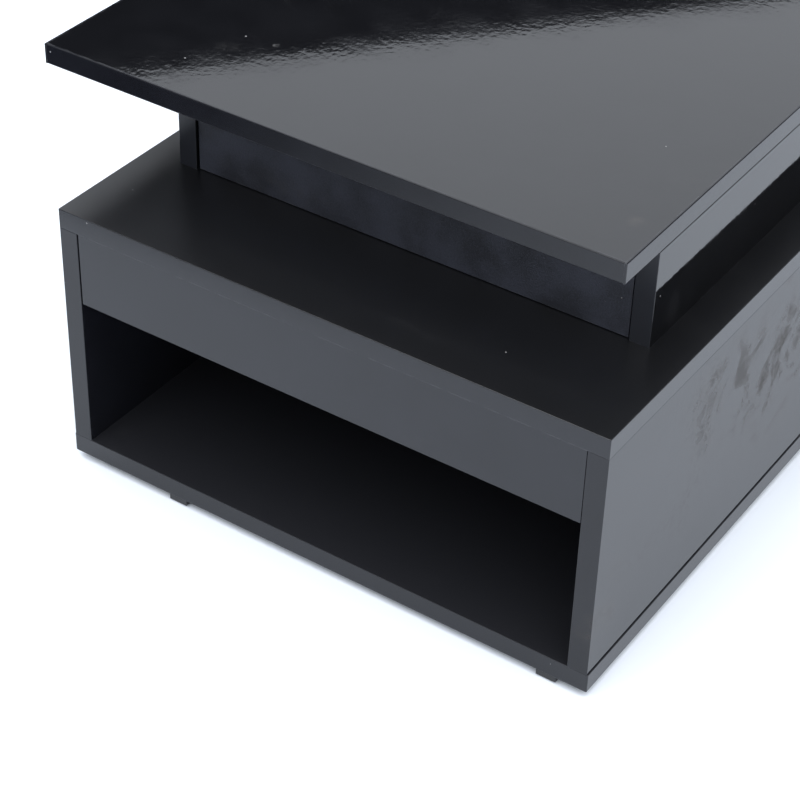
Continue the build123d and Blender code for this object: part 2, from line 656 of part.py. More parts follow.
with BuildPart() as base_pins:
    for side in SIDES:
        for spot in (MAIN_PIVOT, FOLLOWER_PIVOT):
            start = [at_end(side, spot, BASE_PLATE_OUT - PIN_PLAY)]
            length = BASE_PLATE_OUT - ARM_IN
            rods(start, TO_CENTRE[side], PIN_RADIUS, length)
            shoulder = [at_end(side, spot, BASE_PLATE_IN)]
            thick = BASE_PLATE_IN - ARM_OUT - PIN_PLAY
            rods(shoulder, TO_CENTRE[side], SHOULDER_RADIUS, thick)
            head = [at_end(side, spot, ARM_IN - PIN_PLAY)]
            rods(head, TO_CENTRE[side], SHOULDER_RADIUS, HEAD_THICK)
base_pins.part.label = "base_pins"
export_step(base_pins.part, "parts/base_pins.step")

with BuildPart() as top_pins:
    for side in SIDES:
        for spot in (MAIN_TIP, FOLLOWER_TIP):
            start = [at_end(side, spot, TOP_PLATE_IN)]
            length = ARM_OUT + PIN_PLAY - TOP_PLATE_IN
            rods(start, AWAY_FROM_CENTRE[side], PIN_RADIUS, length)
            shoulder = [at_end(side, spot, TOP_PLATE_OUT)]
            thick = ARM_IN - TOP_PLATE_OUT - PIN_PLAY
            rods(shoulder, AWAY_FROM_CENTRE[side], SHOULDER_RADIUS, thick)
            head = [at_end(side, spot, ARM_OUT + PIN_PLAY)]
            rods(head, AWAY_FROM_CENTRE[side], SHOULDER_RADIUS, HEAD_THICK)
            rivet = [at_end(side, spot, TOP_PLATE_IN)]
            rods(rivet, TO_CENTRE[side], SHOULDER_RADIUS, POST_HEAD_THICK)
top_pins.part.label = "top_pins"
export_step(top_pins.part, "parts/top_pins.step")

with BuildPart() as stop_pins:
    for side in SIDES:
        start = [at_end(side, STOP_PIN, BASE_PLATE_OUT - PIN_PLAY)]
        rods(start, TO_CENTRE[side], STOP_RADIUS, BASE_PLATE_OUT - ARM_IN)
stop_pins.part.label = "stop_pins"
export_step(stop_pins.part, "parts/stop_pins.step")

with BuildPart() as arm_posts:
    for side in SIDES:
        start = [at_end(side, LUG_TIP, ARM_OUT)]
        rods(start, TO_CENTRE[side], POST_RADIUS, ARM_OUT - POST_IN)
        head = [at_end(side, LUG_TIP, POST_IN)]
        rods(head, TO_CENTRE[side], POST_HEAD_RADIUS, POST_HEAD_THICK)
arm_posts.part.label = "arm_posts"
export_step(arm_posts.part, "parts/arm_posts.step")

with BuildPart() as base_posts:
    for side in SIDES:
        start = [at_end(side, SPRING_POST, BASE_PLATE_OUT - PIN_PLAY)]
        rods(start, TO_CENTRE[side], POST_RADIUS, BASE_PLATE_OUT - PIN_PLAY - POST_IN)
        head = [at_end(side, SPRING_POST, POST_IN)]
        rods(head, TO_CENTRE[side], POST_HEAD_RADIUS, POST_HEAD_THICK)
base_posts.part.label = "base_posts"
export_step(base_posts.part, "parts/base_posts.step")


def spring(side):
    """An extension spring stretched from the arm post to the base post."""
    hook = Vector(*at_end(side, LUG_TIP, SPRING_PLANE))
    anchor = Vector(*at_end(side, SPRING_POST, SPRING_PLANE))
    along = (anchor - hook).normalized()
    coil_start = hook + along * LOOP_NECK
    coil_length = (anchor - hook).length - 2 * LOOP_NECK
    with BuildLine() as path:
        Helix(COIL_PITCH, coil_length, COIL_RADIUS, center=coil_start, direction=along)
    with BuildSketch(Plane(path.line @ 0, z_dir=path.line % 0)) as wire:
        Circle(WIRE_RADIUS)
    sweep(wire.sketch, path=path.line)
    tips = (path.line @ 0, path.line @ 1)
    for post, way, coil_tip in ((hook, along, tips[0]), (anchor, -along, tips[1])):
        with Locations(Plane(post, x_dir=-way, z_dir=(0, 1, 0))):
            Torus(LOOP_RADIUS, WIRE_RADIUS)
        neck_start = post + way * LOOP_RADIUS
        neck = coil_tip - neck_start
        with Locations(Plane(neck_start, z_dir=neck)):
            Cylinder(WIRE_RADIUS, neck.length, align=ON_BASE)
        with Locations(coil_tip):
            Sphere(WIRE_RADIUS)


with BuildPart() as spring_near:
    spring(NEAR)
spring_near.part.label = "spring_near"
export_step(spring_near.part, "parts/spring_near.step")

with BuildPart() as spring_far:
    spring(FAR)
spring_far.part.label = "spring_far"
export_step(spring_far.part, "parts/spring_far.step")

# Fasteners and small parts -----------------------------------------------------------

with BuildPart() as dowels:
    for y, z in SIDE_DOWEL_YZ:
        rods([(INNER_LEFT - DOWEL_IN_PANEL, y, z)], TO_RIGHT, DOWEL_RADIUS, DOWEL_LENGTH)
        rods([(INNER_RIGHT + DOWEL_IN_PANEL, y, z)], TO_LEFT, DOWEL_RADIUS, DOWEL_LENGTH)
    for y, z in RISER_DOWEL_YZ:
        rods([(WELL_LEFT - DOWEL_IN_PANEL, y, z)], TO_RIGHT, DOWEL_RADIUS, DOWEL_LENGTH)
        rods([(WELL_RIGHT + DOWEL_IN_PANEL, y, z)], TO_LEFT, DOWEL_RADIUS, DOWEL_LENGTH)
dowels.part.label = "dowels"
export_step(dowels.part, "parts/dowels.step")

with BuildPart() as cam_bolts:
    bolt_ends = [(x, y, SHELF_UNDER - CAM_BOLT_REACH) for x, y, z in CAM_BOLT_SPOTS]
    rods(bolt_ends, UP, CAM_BOLT_RADIUS, CAM_BOLT_REACH + CAM_BOLT_THREAD)
cam_bolts.part.label = "cam_bolts"
export_step(cam_bolts.part, "parts/cam_bolts.step")

with BuildPart() as cam_locks:
    for x, y, z in CAM_BOLT_SPOTS:
        on_left = x < BOX_CENTRE_X
        inner_face = INNER_LEFT if on_left else INNER_RIGHT
        outward = TO_LEFT if on_left else TO_RIGHT
        centre = (inner_face, y, z - CAM_BOLT_REACH)
        rods([centre], outward, CAM_RADIUS, CAM_DEPTH)
        with Locations(centre):
            Box(CAM_SLOT_DEEP, CAM_SLOT_LONG, CAM_SLOT_WIDE, mode=Mode.SUBTRACT)
        bolt_way = (x, y, z - CAM_BOLT_REACH - HOLE_FIT)
        holes([bolt_way], UP, CAM_BOLT_RADIUS + CAM_BOLT_CLEAR, CAM_RADIUS + DRILL_OVER)
cam_locks.part.label = "cam_locks"
export_step(cam_locks.part, "parts/cam_locks.step")

with BuildPart() as confirmat_screws:
    rods(CONFIRMAT_SPOTS, UP, CONFIRMAT_RADIUS, CONFIRMAT_LENGTH)
    rods(CONFIRMAT_SPOTS, UP, CONFIRMAT_HEAD_RADIUS, CONFIRMAT_HEAD)
confirmat_screws.part.label = "confirmat_screws"
export_step(confirmat_screws.part, "parts/confirmat_screws.step")

with BuildPart() as riser_screws:
    rods(RISER_SCREW_SPOTS, UP, WOOD_SCREW_RADIUS, RISER_SCREW_LENGTH)
    rods(RISER_SCREW_SPOTS, UP, WOOD_SCREW_HEAD_RADIUS, WOOD_SCREW_HEAD)
riser_screws.part.label = "riser_screws"
export_step(riser_screws.part, "parts/riser_screws.step")

with BuildPart() as bracket_screws:
    for side in SIDES:
        for spot in BRACKET_SCREW_XZ:
            start = at_end(side, spot, BASE_PLATE_IN)
            rods([start], AWAY_FROM_CENTRE[side], WOOD_SCREW_RADIUS, BRACKET_SCREW_LENGTH)
            with Locations(Location(start, AWAY_FROM_CENTRE[side])):
                Cone(WOOD_SCREW_HEAD_RADIUS, WOOD_SCREW_RADIUS, PLATE, align=ON_BASE)
bracket_screws.part.label = "bracket_screws"
export_step(bracket_screws.part, "parts/bracket_screws.step")

with BuildPart() as top_screws:
    rods(TOP_SCREW_SPOTS, UP, WOOD_SCREW_RADIUS, TOP_SCREW_LENGTH)
    rods(TOP_SCREW_SPOTS, DOWN, WOOD_SCREW_HEAD_RADIUS, WOOD_SCREW_HEAD)
top_screws.part.label = "top_screws"
export_step(top_screws.part, "parts/top_screws.step")

with BuildPart() as bumpers:
    pocket_floors = [(x, y, z - BUMPER_SUNK) for x, y, z in BUMPER_SPOTS]
    rods(pocket_floors, UP, BUMPER_RADIUS, BUMPER_SUNK + TOP_GAP - BUMPER_GAP)
bumpers.part.label = "bumpers"
export_step(bumpers.part, "parts/bumpers.step")

with BuildPart() as glides:
    for x, y in GLIDE_SPOTS:
        half_width = GLIDE_WIDTH / 2
        half_depth = GLIDE_DEPTH / 2
        slab(x - half_width, x + half_width, y - half_depth, y + half_depth, 0, FOOT_HEIGHT)
    chamfer(faces().group_by(Axis.Z)[0].edges(), GLIDE_CHAMFER)
    nail_starts = [(x, y, 0) for x, y in GLIDE_SPOTS]
    holes(nail_starts, UP, NAIL_RADIUS + HOLE_FIT, FOOT_HEIGHT)
    holes(nail_starts, UP, NAIL_HEAD_RADIUS + HOLE_FIT, NAIL_RECESS + HOLE_FIT)
glides.part.label = "glides"
export_step(glides.part, "parts/glides.step")

with BuildPart() as glide_nails:
    head_under = [(x, y, NAIL_RECESS - NAIL_HEAD_THICK) for x, y in GLIDE_SPOTS]
    rods(head_under, UP, NAIL_HEAD_RADIUS, NAIL_HEAD_THICK)
    rods(head_under, UP, NAIL_RADIUS, NAIL_LENGTH)
glide_nails.part.label = "glide_nails"
export_step(glide_nails.part, "parts/glide_nails.step")
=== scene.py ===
# %% [markdown]
# # A lift top coffee table
# The model comes in as a fixed frame: every board, arm and screw is already in its
# place, in metres, with the floor at height 0. This lesson adds the finishes, the wound
# springs, the driven screw heads, the floor, the lights and the camera.
# Loading the frame first means that no piece has to be fitted by eye.

# %% Load the frame
import math
import bmesh
import bpy
from mathutils import Matrix, Vector


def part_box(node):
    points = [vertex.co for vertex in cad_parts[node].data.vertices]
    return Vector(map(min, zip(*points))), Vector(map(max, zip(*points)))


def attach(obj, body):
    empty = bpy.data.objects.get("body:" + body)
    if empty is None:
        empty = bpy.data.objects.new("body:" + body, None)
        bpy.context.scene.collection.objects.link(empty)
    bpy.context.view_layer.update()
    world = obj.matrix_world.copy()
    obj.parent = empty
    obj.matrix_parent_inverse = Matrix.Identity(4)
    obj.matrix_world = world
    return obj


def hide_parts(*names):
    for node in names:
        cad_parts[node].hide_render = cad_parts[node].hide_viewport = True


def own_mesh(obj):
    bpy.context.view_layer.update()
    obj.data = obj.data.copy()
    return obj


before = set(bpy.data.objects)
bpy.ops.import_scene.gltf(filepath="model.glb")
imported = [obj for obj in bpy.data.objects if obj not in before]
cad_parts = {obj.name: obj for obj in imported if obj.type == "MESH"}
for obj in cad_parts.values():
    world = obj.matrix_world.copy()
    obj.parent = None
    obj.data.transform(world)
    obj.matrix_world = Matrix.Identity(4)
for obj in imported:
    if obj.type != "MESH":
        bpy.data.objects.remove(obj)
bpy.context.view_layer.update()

# %% [markdown]
# ## Small tools for node trees
# A finish here is a network of nodes. These three helpers add a node, wire two sockets
# and do one step of arithmetic, so that each finish below reads as a short recipe.
# The same networks could be laid out by hand in the shader editor. Writing them as code
# keeps every number in sight.

# %% Node helpers
def add_node(tree, kind, **inputs):
    """A new node. Inputs are set by name where they are constant."""
    node = tree.nodes.new(kind)
    for name, value in inputs.items():
        node.inputs[name.replace("_", " ")].default_value = value
    return node


def wire(tree, source, target):
    tree.links.new(source, target)
    return target


def maths(tree, operation, first, second=None, third=None, clamp=False):
    """One Math node. Numbers and sockets can both be given."""
    node = tree.nodes.new("ShaderNodeMath")
    node.operation = operation
    node.use_clamp = clamp
    for socket, value in zip(node.inputs, (first, second, third)):
        if value is None:
            continue
        if isinstance(value, (int, float)):
            socket.default_value = value
        else:
            wire(tree, value, socket)
    return node.outputs[0]


def ramp(tree, value, low, high):
    """Smooth change from 0 at low to 1 at high."""
    node = tree.nodes.new("ShaderNodeMapRange")
    node.interpolation_type = "SMOOTHSTEP"
    node.inputs["From Min"].default_value = low
    node.inputs["From Max"].default_value = high
    wire(tree, value, node.inputs["Value"])
    return node.outputs["Result"]


def blend_colours(tree, mask, below, above):
    """Colour below where the mask is 0, above where it is 1."""
    node = tree.nodes.new("ShaderNodeMix")
    node.data_type = "RGBA"
    wire(tree, mask, node.inputs["Factor"])
    for name, colour in (("A", below), ("B", above)):
        socket = [s for s in node.inputs if s.name == name and s.type == "RGBA"][0]
        if isinstance(colour, tuple):
            socket.default_value = (*colour, 1.0)
        else:
            wire(tree, colour, socket)
    return [s for s in node.outputs if s.type == "RGBA"][0]


def open_group(name, inputs, outputs):
    """A new node group with float inputs (name, default) and float outputs (name)."""
    tree = bpy.data.node_groups.new(name, "ShaderNodeTree")
    for socket_name, default in inputs:
        socket = tree.interface.new_socket(
            socket_name, in_out="INPUT", socket_type="NodeSocketFloat"
        )
        socket.default_value = default
    for socket_name in outputs:
        tree.interface.new_socket(
            socket_name, in_out="OUTPUT", socket_type="NodeSocketFloat"
        )
    start = tree.nodes.new("NodeGroupInput")
    end = tree.nodes.new("NodeGroupOutput")
    return tree, start, end


# %% [markdown]
# ## Orange peel
# A sprayed or pressed gloss face is never a perfect mirror. It keeps a shallow ripple,
# a few thousandths of a millimetre deep and some millimetres long, which tears the edge
# of every reflection into small flames. Modelling that in the mesh would need millions
# of faces, so a height for a Bump node stands in for it.
# Two sizes of noise are added: the ripple itself and a long, lazy swell under it.

# %% Orange peel group
orange_peel, peel_in, peel_out = open_group(
    "Orange peel", [("Ripple Scale", 200.0), ("Swell Scale", 34.0), ("Swell", 1.5)], ["Height"]
)
where = add_node(orange_peel, "ShaderNodeTexCoord").outputs["Object"]
ripple = add_node(orange_peel, "ShaderNodeTexNoise", Detail=1.0, Roughness=0.45)
wire(orange_peel, where, ripple.inputs["Vector"])
wire(orange_peel, peel_in.outputs["Ripple Scale"], ripple.inputs["Scale"])
swell = add_node(orange_peel, "ShaderNodeTexNoise", Detail=1.0, Roughness=0.4)
wire(orange_peel, where, swell.inputs["Vector"])
wire(orange_peel, peel_in.outputs["Swell Scale"], swell.inputs["Scale"])
lazy = maths(orange_peel, "MULTIPLY", swell.outputs["Fac"], peel_in.outputs["Swell"])
height = maths(orange_peel, "ADD", ripple.outputs["Fac"], lazy)
wire(orange_peel, height, peel_out.inputs["Height"])
print("group:", orange_peel.name, [s.name for s in orange_peel.interface.items_tree])

# %% [markdown]
# ## Fine grain
# Printed foil, powder coat and moulded plastic all carry a tiny, even tooth. It is what
# turns a sharp reflection into a soft sheen. The group gives the tooth as a height, and
# also as a value that a finish can use to vary its roughness a little.

# %% Fine grain group
fine_grain, grain_in, grain_out = open_group(
    "Fine grain", [("Scale", 1500.0), ("Cloud Scale", 22.0)], ["Height", "Cloud"]
)
where = add_node(fine_grain, "ShaderNodeTexCoord").outputs["Object"]
tooth = add_node(fine_grain, "ShaderNodeTexNoise", Detail=2.0, Roughness=0.6)
wire(fine_grain, where, tooth.inputs["Vector"])
wire(fine_grain, grain_in.outputs["Scale"], tooth.inputs["Scale"])
cloud = add_node(fine_grain, "ShaderNodeTexNoise", Detail=4.0, Roughness=0.55)
wire(fine_grain, where, cloud.inputs["Vector"])
wire(fine_grain, grain_in.outputs["Cloud Scale"], cloud.inputs["Scale"])
wire(fine_grain, tooth.outputs["Fac"], grain_out.inputs["Height"])
wire(fine_grain, ramp(fine_grain, cloud.outputs["Fac"], 0.3, 0.7), grain_out.inputs["Cloud"])
print("group:", fine_grain.name)

# %% [markdown]
# ## Edge wear
# Corners are touched, knocked and wiped more than faces, so the colour is thinner there.
# Comparing the true face direction with the direction that a rounded corner would have
# finds every edge by itself, with no painting by hand. A broken noise keeps the line
# from running evenly all along the board.

# %% Edge wear group
edge_wear, wear_in, wear_out = open_group(
    "Edge wear", [("Radius", 0.0012), ("Break Scale", 90.0)], ["Mask"]
)
face = add_node(edge_wear, "ShaderNodeNewGeometry").outputs["Normal"]
rounded = edge_wear.nodes.new("ShaderNodeBevel")
rounded.samples = 4
wire(edge_wear, wear_in.outputs["Radius"], rounded.inputs["Radius"])
likeness = edge_wear.nodes.new("ShaderNodeVectorMath")
likeness.operation = "DOT_PRODUCT"
wire(edge_wear, face, likeness.inputs[0])
wire(edge_wear, rounded.outputs["Normal"], likeness.inputs[1])
corner = ramp(edge_wear, maths(edge_wear, "SUBTRACT", 1.0, likeness.outputs["Value"]), 0.02, 0.25)
where = add_node(edge_wear, "ShaderNodeTexCoord").outputs["Object"]
broken = add_node(edge_wear, "ShaderNodeTexNoise", Detail=3.0)
wire(edge_wear, where, broken.inputs["Vector"])
wire(edge_wear, wear_in.outputs["Break Scale"], broken.inputs["Scale"])
patchy = ramp(edge_wear, broken.outputs["Fac"], 0.35, 0.62)
wire(edge_wear, maths(edge_wear, "MULTIPLY", corner, patchy), wear_out.inputs["Mask"])
print("group:", edge_wear.name)

# %% [markdown]
# ## Dust
# Black gloss shows every speck. Cells of a Voronoi pattern give scattered points, and
# only a few of the cells, picked by their random colour, hold a speck at all. A second
# input sets how large the specks are, so one group serves a clean top and a dusty floor
# of a compartment.

# %% Dust group
dust_specks, dust_in, dust_out = open_group(
    "Dust specks", [("Scale", 70.0), ("Size", 0.05), ("Share", 0.12)], ["Mask"]
)
where = add_node(dust_specks, "ShaderNodeTexCoord").outputs["Object"]
cells = add_node(dust_specks, "ShaderNodeTexVoronoi", Randomness=1.0)
wire(dust_specks, where, cells.inputs["Vector"])
wire(dust_specks, dust_in.outputs["Scale"], cells.inputs["Scale"])
near_point = maths(dust_specks, "LESS_THAN", cells.outputs["Distance"], dust_in.outputs["Size"])
cell_colour = add_node(dust_specks, "ShaderNodeSeparateColor")
wire(dust_specks, cells.outputs["Color"], cell_colour.inputs["Color"])
chosen = maths(dust_specks, "LESS_THAN", cell_colour.outputs["Red"], dust_in.outputs["Share"])
wire(dust_specks, maths(dust_specks, "MULTIPLY", near_point, chosen), dust_out.inputs["Mask"])
print("group:", dust_specks.name)

# %% [markdown]
# ## Smudges
# Hands and cloths leave soft patches that are a little rougher than the clean gloss, so
# they catch the light where the face around them is dark. Warped noise gives the patch,
# and finer noise inside it gives the streaks of a wipe.

# %% Smudge group
smudges, smudge_in, smudge_out = open_group(
    "Smudges", [("Scale", 5.0), ("Least", 0.56), ("Most", 0.72)], ["Mask"]
)
where = add_node(smudges, "ShaderNodeTexCoord").outputs["Object"]
patch = add_node(smudges, "ShaderNodeTexNoise", Detail=5.0, Roughness=0.6, Distortion=1.2)
wire(smudges, where, patch.inputs["Vector"])
wire(smudges, smudge_in.outputs["Scale"], patch.inputs["Scale"])
span = maths(smudges, "SUBTRACT", smudge_in.outputs["Most"], smudge_in.outputs["Least"])
rise = maths(smudges, "SUBTRACT", patch.outputs["Fac"], smudge_in.outputs["Least"])
patch_mask = maths(smudges, "DIVIDE", rise, span, clamp=True)
streak = add_node(smudges, "ShaderNodeTexNoise", Scale=70.0, Detail=4.0, Distortion=2.0)
wire(smudges, where, streak.inputs["Vector"])
streak_mask = ramp(smudges, streak.outputs["Fac"], 0.38, 0.66)
wire(smudges, maths(smudges, "MULTIPLY", patch_mask, streak_mask), smudge_out.inputs["Mask"])
print("group:", smudges.name)

# %% [markdown]
# ## A handled patch, and a painted glint
# Some marks belong to one place: where a hand takes hold of a side, or where a cloth
# stopped. A ball of influence round a point on the piece, broken up by curved streaks,
# keeps such a mark where it is, whatever the noise does elsewhere. The same group also
# places one painted glint, a pale spot that stands in for a highlight at a corner of the shelf.

# %% Handled patch and glint group
handled_and_glint, handled_and_glint_in, handled_and_glint_out = open_group(
    "Handled patch and painted glint", [("X", 0.0), ("Y", 0.0), ("Z", 0.0), ("Radius", 0.05)], ["Mask"]
)
where = add_node(handled_and_glint, "ShaderNodeTexCoord").outputs["Object"]
spot = handled_and_glint.nodes.new("ShaderNodeCombineXYZ")
for axis in ("X", "Y", "Z"):
    wire(handled_and_glint, handled_and_glint_in.outputs[axis], spot.inputs[axis])
distance = handled_and_glint.nodes.new("ShaderNodeVectorMath")
distance.operation = "DISTANCE"
wire(handled_and_glint, where, distance.inputs[0])
wire(handled_and_glint, spot.outputs["Vector"], distance.inputs[1])
share = maths(handled_and_glint, "DIVIDE", distance.outputs["Value"], handled_and_glint_in.outputs["Radius"])
ball = ramp(handled_and_glint, maths(handled_and_glint, "SUBTRACT", 1.0, share), 0.0, 0.8)
streak = add_node(handled_and_glint, "ShaderNodeTexNoise", Scale=20.0, Detail=8.0, Distortion=1.4)
wire(handled_and_glint, where, streak.inputs["Vector"])
streak_mask = ramp(handled_and_glint, streak.outputs["Fac"], 0.40, 0.64)
wire(handled_and_glint, maths(handled_and_glint, "MULTIPLY", ball, streak_mask), handled_and_glint_out.inputs["Mask"])
print("group:", handled_and_glint.name)

# %% [markdown]
# ## Hairline scratches
# A used top has a few long, very thin scratches. Noise that is squeezed many times more
# across than along gives lines, and a second, broad noise lets them live only here and
# there. They show as a change of roughness, not as a drawn line.

# %% Scratch group
scratches, scratch_in, scratch_out = open_group(
    "Hairline scratches", [("Turn", 0.6), ("Least", 0.775)], ["Mask"]
)
where = add_node(scratches, "ShaderNodeTexCoord").outputs["Object"]
turned = scratches.nodes.new("ShaderNodeVectorRotate")
turned.rotation_type = "Z_AXIS"
wire(scratches, where, turned.inputs["Vector"])
wire(scratches, scratch_in.outputs["Turn"], turned.inputs["Angle"])
squeezed = scratches.nodes.new("ShaderNodeVectorMath")
squeezed.operation = "MULTIPLY"
squeezed.inputs[1].default_value = (9.0, 1500.0, 40.0)
wire(scratches, turned.outputs["Vector"], squeezed.inputs[0])
lines = add_node(scratches, "ShaderNodeTexNoise", Scale=1.0, Detail=0.0)
wire(scratches, squeezed.outputs["Vector"], lines.inputs["Vector"])
sharp = maths(scratches, "GREATER_THAN", lines.outputs["Fac"], scratch_in.outputs["Least"])
region = add_node(scratches, "ShaderNodeTexNoise", Scale=7.0, Detail=1.0)
wire(scratches, where, region.inputs["Vector"])
here = ramp(scratches, region.outputs["Fac"], 0.56, 0.66)
wire(scratches, maths(scratches, "MULTIPLY", sharp, here), scratch_out.inputs["Mask"])
print("group:", scratches.name)

# %% [markdown]
# ## Facing
# Flat-pack boards are finished in two ways: the big faces and the thin edge bands do not
# match. The direction of the surface, measured on the board itself, tells which is
# which, so one material can hold both finishes. The group tells level faces (Level),
# faces along the table's long sides (Side) and faces at its ends (End) apart.

# %% Facing group
facing, facing_in, facing_out = open_group(
    "Facing", [("Least", 0.7)], ["Level", "Side", "End"]
)
own_normal = add_node(facing, "ShaderNodeTexCoord").outputs["Normal"]
split = add_node(facing, "ShaderNodeSeparateXYZ")
wire(facing, own_normal, split.inputs["Vector"])
for axis, direction_name in (("Z", "Level"), ("X", "Side"), ("Y", "End")):
    size = maths(facing, "ABSOLUTE", split.outputs[axis])
    faces_it = maths(facing, "GREATER_THAN", size, facing_in.outputs["Least"])
    wire(facing, faces_it, facing_out.inputs[direction_name])
print("group:", facing.name)


# %% [markdown]
# ## A recipe for lacquered board
# All the black boards share one build-up: a deep base colour, wear at the arrises,
# smudges and dust over it, hairlines in the gloss, and a bump that is ripple on gloss
# or tooth on satin. The recipe takes the numbers, so each board finish is one call.

# %% Board finish recipe
SMUDGE_SPAN = 0.16
SMUDGE_SHARE = 0.55
WORN_SHARE = 0.35
DUST_GREY = (0.20, 0.20, 0.20)


def place_group(tree, group, **inputs):
    node = tree.nodes.new("ShaderNodeGroup")
    node.node_tree = group
    for name, value in inputs.items():
        node.inputs[name.replace("_", " ")].default_value = value
    return node


def new_finish(name):
    """An empty material with its Principled shader."""
    material = bpy.data.materials.new(name)
    material.use_nodes = True
    tree = material.node_tree
    shader = tree.nodes["Principled BSDF"]
    return material, tree, shader


def board_finish(
    name,
    colour,
    roughness,
    second_face=None,
    second_colour=None,
    second_roughness=None,
    peel_depth=1.2e-5,
    grain_depth=0.0,
    smudge_gain=0.12,
    smudge_tint=(0.05, 0.048, 0.045),
    smudge_least=0.56,
    smudge_scale=5.0,
    dust_share=0.12,
    dust_scale=70.0,
    wear_colour=(0.10, 0.105, 0.115),
    specular=0.5,
    patches=(),
    patch_gain=0.1,
    grain_scale=1500.0,
    grain_tone=0.0,
    sheen=0.0,
):
    """A black board finish. The second values are for one kind of face, if it differs.

    Each patch is (x, y, z, radius, share, tint), a handled spot on the board; the one on the
    shelf is a painted glint.
    """
    material, tree, shader = new_finish(name)
    shader.inputs["Specular IOR Level"].default_value = specular
    grain = place_group(tree, fine_grain, Scale=grain_scale)
    smudge_most = smudge_least + SMUDGE_SPAN
    smudge = place_group(
        tree, smudges, Scale=smudge_scale, Least=smudge_least, Most=smudge_most
    )
    dust = place_group(tree, dust_specks, Scale=dust_scale, Share=dust_share)
    hairline = place_group(tree, scratches)
    wear = place_group(tree, edge_wear)
    darker = tuple(channel * (0.8 - 0.2 * grain_tone) for channel in colour)
    tone = maths(tree, "SUBTRACT", grain.outputs["Cloud"], grain_tone / 2)
    tone = maths(tree, "MULTIPLY_ADD", grain.outputs["Height"], grain_tone, tone, clamp=True)
    base = blend_colours(tree, tone, darker, colour)
    if second_face is None:
        face_rough = maths(tree, "MULTIPLY_ADD", grain.outputs["Cloud"], 0.02, roughness)
    else:
        on_second = place_group(tree, facing).outputs[second_face]
        base = blend_colours(tree, on_second, base, second_colour)
        second_rough = maths(tree, "MULTIPLY_ADD", grain.outputs["Cloud"], 0.03, second_roughness)
        change = maths(tree, "SUBTRACT", second_rough, roughness)
        face_rough = maths(tree, "MULTIPLY_ADD", change, on_second, roughness)
        if sheen:
            coat = maths(tree, "MULTIPLY", on_second, sheen)
            wire(tree, coat, shader.inputs["Coat Weight"])
            shader.inputs["Coat Roughness"].default_value = second_roughness
    smudge_mask = maths(tree, "MULTIPLY", smudge.outputs["Mask"], SMUDGE_SHARE)
    base = blend_colours(tree, smudge_mask, base, smudge_tint)
    worn = maths(tree, "MULTIPLY", wear.outputs["Mask"], WORN_SHARE)
    base = blend_colours(tree, worn, base, wear_colour)
    patch_mask = None
    for x, y, z, radius, share, tint in patches:
        patch = place_group(tree, handled_and_glint, X=x, Y=y, Z=z, Radius=radius)
        mask = maths(tree, "MULTIPLY", patch.outputs["Mask"], share)
        base = blend_colours(tree, mask, base, tint)
        patch_mask = maths(tree, "ADD", mask, patch_mask) if patch_mask else mask
    base = blend_colours(tree, dust.outputs["Mask"], base, DUST_GREY)
    wire(tree, base, shader.inputs["Base Color"])
    rough = maths(tree, "MULTIPLY_ADD", smudge.outputs["Mask"], smudge_gain, face_rough)
    rough = maths(tree, "MULTIPLY_ADD", hairline.outputs["Mask"], 0.08, rough)
    if patch_mask:
        rough = maths(tree, "MULTIPLY_ADD", patch_mask, patch_gain, rough)
    rough = maths(tree, "MULTIPLY_ADD", wear.outputs["Mask"], 0.2, rough)
    rough = maths(tree, "MULTIPLY_ADD", dust.outputs["Mask"], 0.5, rough, clamp=True)
    wire(tree, rough, shader.inputs["Roughness"])
    last_normal = None
    if peel_depth:
        peel = place_group(tree, orange_peel)
        bump = add_node(tree, "ShaderNodeBump", Strength=1.0, Distance=peel_depth)
        wire(tree, peel.outputs["Height"], bump.inputs["Height"])
        last_normal = bump.outputs["Normal"]
    if grain_depth:
        bump = add_node(tree, "ShaderNodeBump", Strength=1.0, Distance=grain_depth)
        wire(tree, grain.outputs["Height"], bump.inputs["Height"])
        if last_normal:
            wire(tree, last_normal, bump.inputs["Normal"])
        last_normal = bump.outputs["Normal"]
    wire(tree, last_normal, shader.inputs["Normal"])
    return material


# %% [markdown]
# ## The black boards
# The top is the best surface: mirror gloss over near-black. The sides and ends of the
# box and the riser sides are the same gloss foil, a little less flat. The shelf and the
# inside are a satin foil, but their edges are banded in gloss, so those finishes name
# a second look for the faces that lie flat. Inside the table the satin is made lighter
# than on the shelf: painted fill light for the shaded inside, on the divider, the
# storage floor and the level faces of the bottom board. The riser ends are plain satin board.
#
# A mark from use belongs to one face of one board, and so does the painted glint on the
# shelf. Each is measured from a corner of its own board, so it stays on that board if
# the table changes size.


# %% Place a mark
def mark_on(node, face, steps, radius, share, tint):
    """A handled spot or painted glint on the top or right face of a board, as x, y, z, radius,
    share, tint.

    The steps run from the near left corner of a top face, or the near low corner of a
    right face.
    """
    low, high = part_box(node)
    if face == "top":
        centre = (low.x + steps[0], low.y + steps[1], high.z)
    else:
        centre = (high.x, low.y + steps[0], low.z + steps[1])
    return (*centre, radius, share, tint)


# %% Board finishes
GREASE = (0.030, 0.026, 0.023)
GRIME = (0.016, 0.011, 0.008)
PALE_DUST = (0.075, 0.075, 0.075)

